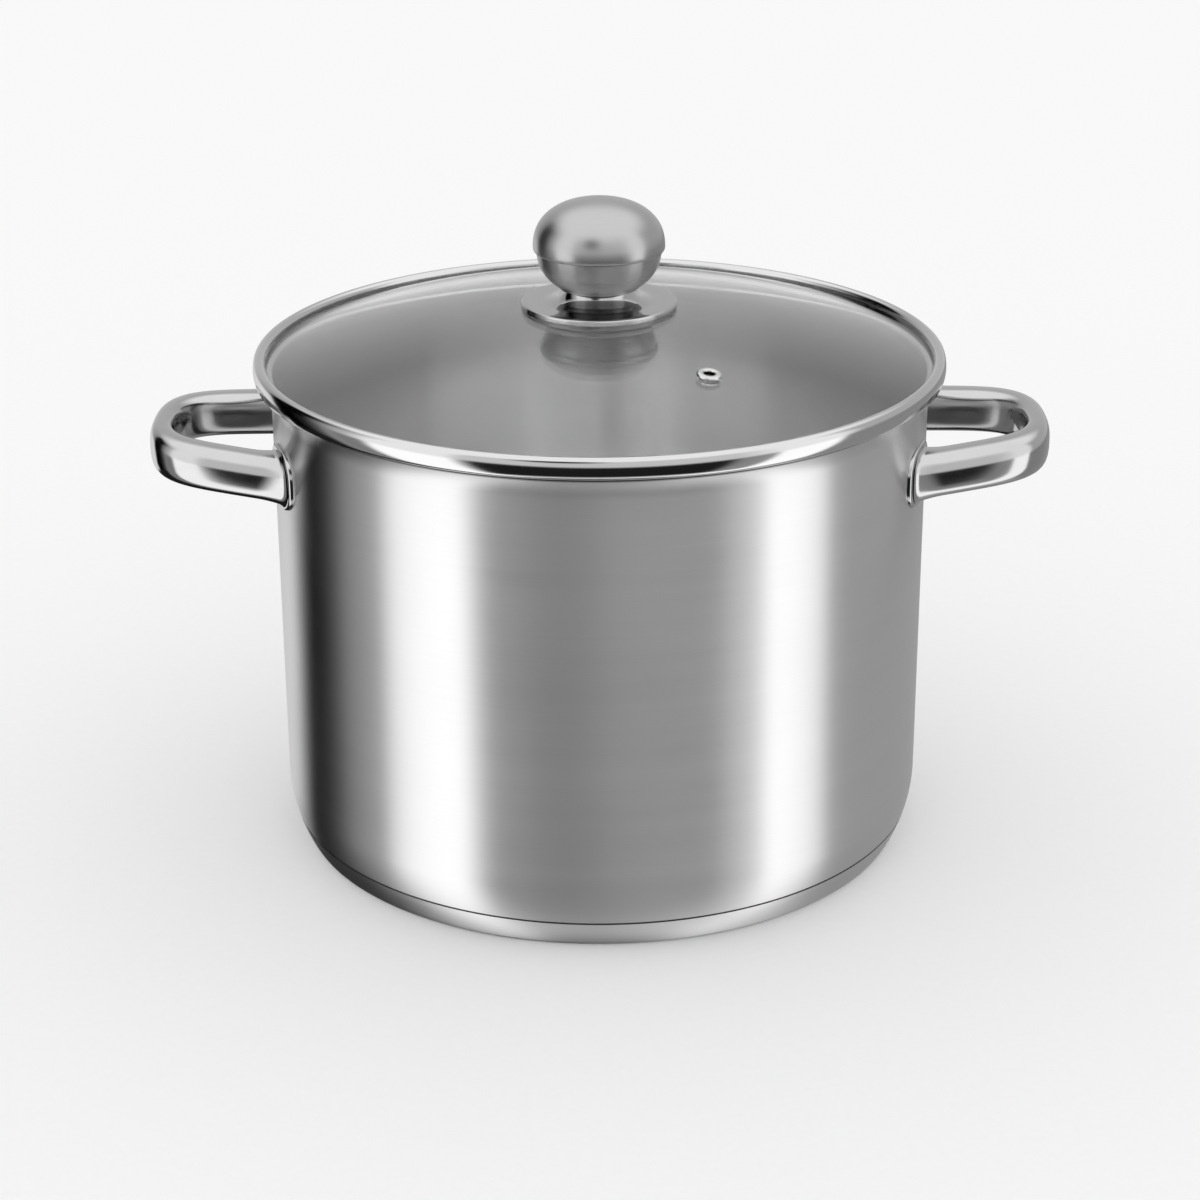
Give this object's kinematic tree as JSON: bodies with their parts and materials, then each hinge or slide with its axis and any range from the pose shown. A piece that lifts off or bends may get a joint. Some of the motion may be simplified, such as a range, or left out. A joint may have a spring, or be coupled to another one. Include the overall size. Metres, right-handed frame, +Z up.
{
  "type": "stock pot",
  "caption": "Steel stock pot on a thick capsule base, with loop side handles and a lift-off domed glass lid that has a steel rim band, a steam vent and a round knob.",
  "frame": {"origin": "centre of the base's underside", "axes": "+Z up along the pot's axis, +X out of one side handle, +Y away from the picture's camera"},
  "size_m": [0.3306, 0.2524, 0.2403],
  "materials": {
    "pot_steel": "satin, drawn round the wall",
    "base_steel": "turned satin",
    "core_aluminium": "as rolled",
    "handle_steel": "polished",
    "rim_steel": "polished",
    "vent_steel": "polished",
    "lid_glass": "clear tempered",
    "knob_satin_steel": "satin",
    "knob_polished_steel": "polished",
    "fixing_steel": "plain turned",
    "silicone": "matte translucent"
  },
  "bodies": {
    "pot": {"pot_body": "pot_steel", "base_core": "core_aluminium", "base_cap": "base_steel", "handle_left_grip": "handle_steel", "handle_right_grip": "handle_steel", "handle_left_foot_front": "handle_steel", "handle_left_foot_back": "handle_steel", "handle_right_foot_front": "handle_steel", "handle_right_foot_back": "handle_steel"},
    "lid": {"lid_glass": "lid_glass", "lid_rim_band": "rim_steel", "vent_grommet": "vent_steel", "knob_cap": "knob_satin_steel", "knob_bowl": "knob_polished_steel", "knob_base": "knob_polished_steel", "knob_insert": "fixing_steel", "knob_gasket_top": "silicone", "knob_gasket_bottom": "silicone", "knob_washer": "fixing_steel", "knob_lock_washer": "fixing_steel", "knob_screw": "fixing_steel"}
  },
  "joints": [
    {"name": "lid_lift", "type": "slide", "parent": "pot", "child": "lid", "axis": [0, 0, 1], "range_m": [0, 0.3]}
  ]
}
